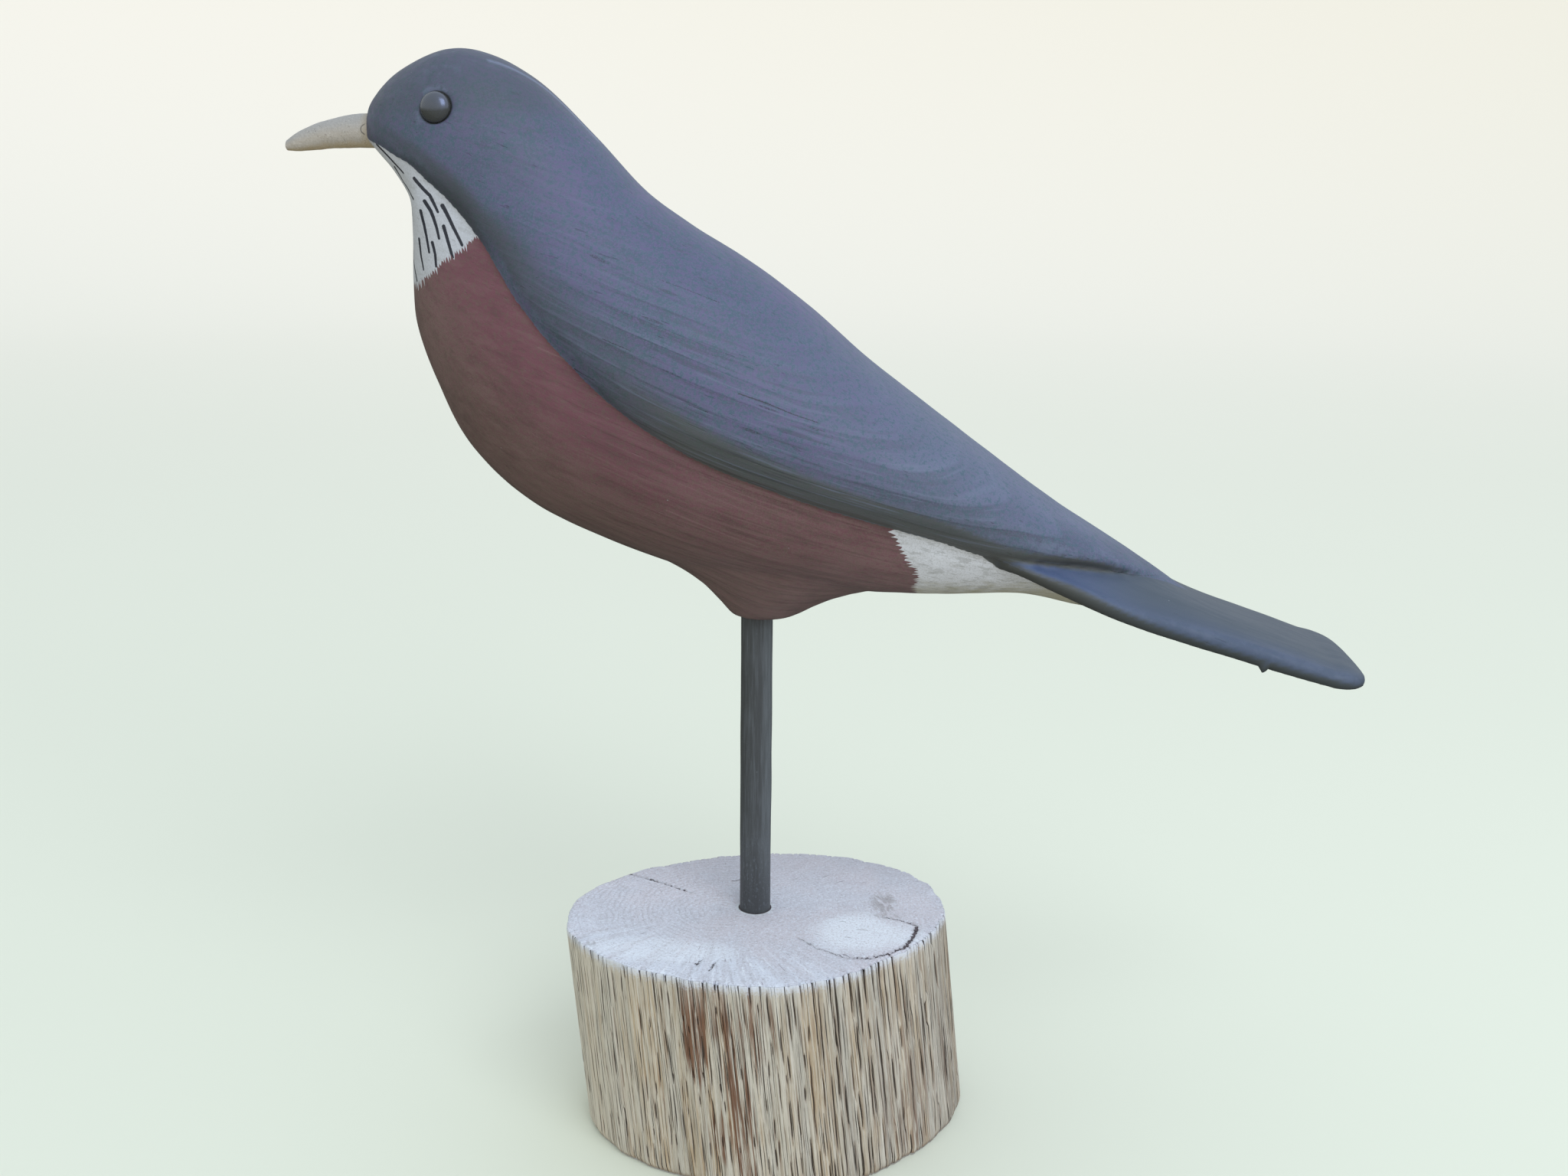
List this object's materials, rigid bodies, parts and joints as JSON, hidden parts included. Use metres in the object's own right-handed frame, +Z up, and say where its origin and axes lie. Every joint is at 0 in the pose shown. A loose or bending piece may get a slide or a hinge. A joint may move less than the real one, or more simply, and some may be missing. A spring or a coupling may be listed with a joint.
{
  "type": "robin carving",
  "caption": "Painted wooden robin with a slate back, red breast and domed eyes, held up by a rod in a slice of weathered log.",
  "frame": {"origin": "on the flat underside of the log, on the axis of the rod", "axes": "+Z up along the rod; -X the way the bird looks, +X its tail; +Y the bird's right side"},
  "size_m": [0.2037, 0.0667, 0.2155],
  "materials": {
    "body_paint": "matte milk paint, rubbed at the edges",
    "bill_paint": "matte tan paint",
    "eyes": "glossy black enamel",
    "dowel_paint": "satin dark slate paint, scuffed",
    "weathered_wood": "bare, weathered and checked"
  },
  "bodies": {
    "root": {"body": "body_paint", "bill": "bill_paint", "eye_left": "eyes", "eye_right": "eyes", "dowel": "dowel_paint", "log_base": "weathered_wood"}
  },
  "joints": []
}
